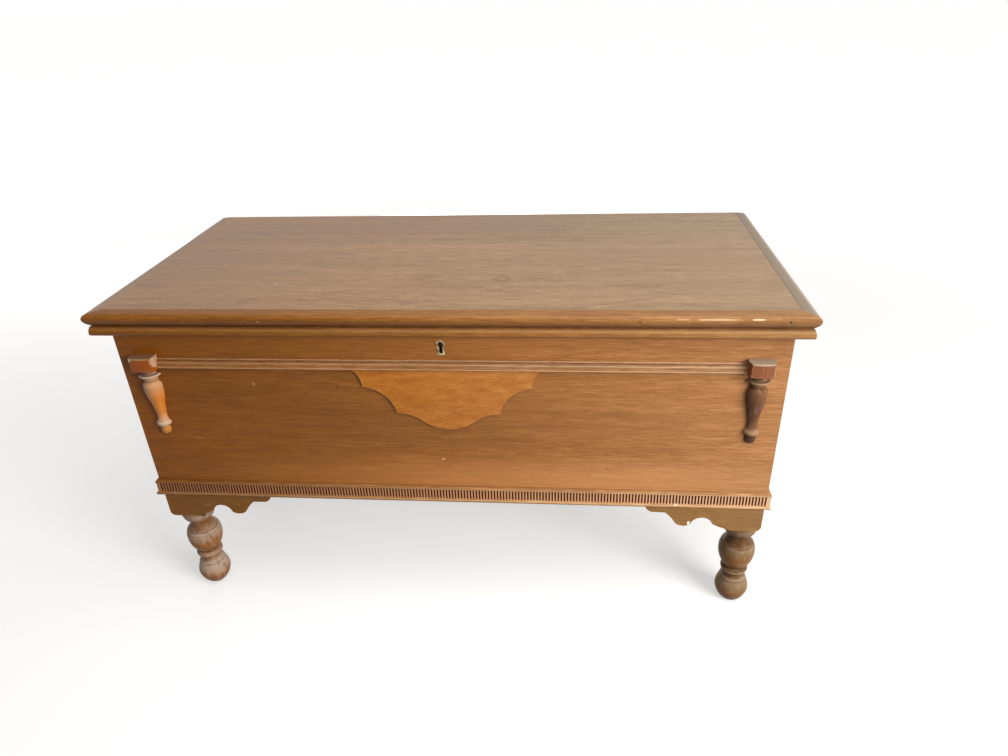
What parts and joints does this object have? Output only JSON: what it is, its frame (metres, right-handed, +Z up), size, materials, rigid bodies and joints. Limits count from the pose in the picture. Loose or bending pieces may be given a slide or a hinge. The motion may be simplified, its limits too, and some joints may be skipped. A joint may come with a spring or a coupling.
{
  "type": "blanket chest",
  "caption": "Blanket chest with a hinged, moulded lid, a lock and a slotted stay, fluted base moulding, scalloped front panel, split-turned drops and turned ball feet.",
  "frame": {"origin": "on the floor, at the middle of the chest's outer box, hinge barrels included", "axes": "+X towards the chest's left-hand end as it faces the room, which is the right as seen from the front; -Y is the front with the keyhole; +Z up"},
  "size_m": [1.17, 0.5558, 0.6509],
  "materials": {
    "front_wood": "aged warm brown varnish with the grain along the length, rubbed and nicked",
    "lid_wood": "faded greyish brown varnish with a soft sheen",
    "case_wood": "aged warm brown varnish",
    "bottom_wood": "planed, unvarnished aromatic cedar",
    "lid_moulding_wood": "aged orange brown varnish, worn pale along the nose",
    "moulding_wood": "aged varnish, darker in the flutes",
    "overlay_wood": "aged golden varnish over figured maple",
    "bracket_wood": "aged warm brown varnish, chipped at the edges",
    "drop_wood": "aged varnish, bleached on top",
    "leg_wood": "aged varnish, bleached and rubbed on the rounds",
    "block_wood": "sawn and stained wood",
    "keyhole_brass": "tarnished, rubbed bright at the rim",
    "lock_steel": "stamped and blackened by age",
    "hinge_steel": "brass-plated, dulled",
    "stay_steel": "brass-plated, dulled"
  },
  "bodies": {
    "case": {"back_panel": "case_wood", "bottom_panel": "bottom_wood", "front_base_moulding": "moulding_wood", "front_left_corner_block": "block_wood", "front_left_leg": "leg_wood", "front_overlay": "overlay_wood", "front_panel": "front_wood", "front_right_corner_block": "block_wood", "front_right_leg": "leg_wood", "keyhole_escutcheon": "keyhole_brass", "left_base_moulding": "moulding_wood", "left_bracket": "bracket_wood", "left_drop": "drop_wood", "left_hinge_case_leaf": "hinge_steel", "left_hinge_pin": "hinge_steel", "left_side_panel": "case_wood", "lock_cap": "lock_steel", "lock_pin": "lock_steel", "lock_plate": "lock_steel", "lock_spring": "lock_steel", "middle_hinge_case_leaf": "hinge_steel", "middle_hinge_pin": "hinge_steel", "rail_moulding": "moulding_wood", "rear_left_corner_block": "block_wood", "rear_left_leg": "leg_wood", "rear_right_corner_block": "block_wood", "rear_right_leg": "leg_wood", "right_base_moulding": "moulding_wood", "right_bracket": "bracket_wood", "right_drop": "drop_wood", "right_hinge_case_leaf": "hinge_steel", "right_hinge_pin": "hinge_steel", "right_side_panel": "case_wood", "stay_plate": "stay_steel", "stay_stud": "stay_steel"},
    "lid": {"lid_panel": "lid_wood", "lid_front_moulding": "lid_moulding_wood", "lid_left_moulding": "lid_moulding_wood", "lid_right_moulding": "lid_moulding_wood", "link_plate": "lock_steel", "stay_bracket": "stay_steel", "stay_rivet": "stay_steel", "left_hinge_lid_leaf": "hinge_steel", "middle_hinge_lid_leaf": "hinge_steel", "right_hinge_lid_leaf": "hinge_steel"},
    "stay_arm": {"stay_arm": "stay_steel"},
    "lock_bolt": {"lock_bolt": "lock_steel"}
  },
  "joints": [
    {"name": "lid_hinge", "type": "hinge", "parent": "case", "child": "lid", "pos_m": [0, 0.2739, 0.6317], "axis": [-1, 0, 0], "range_deg": [0, 95]},
    {"name": "stay_pivot", "type": "hinge", "parent": "lid", "child": "stay_arm", "pos_m": [0.5342, 0.12454, 0.6179], "axis": [1, 0, 0], "range_deg": [0, 47.5]},
    {"name": "lock_slide", "type": "slide", "parent": "case", "child": "lock_bolt", "axis": [1, 0, 0], "range_m": [0, 0.007]}
  ],
  "couplings": [
    {"joint": "stay_pivot", "follows": "lid_hinge", "ratio": 0.5}
  ]
}
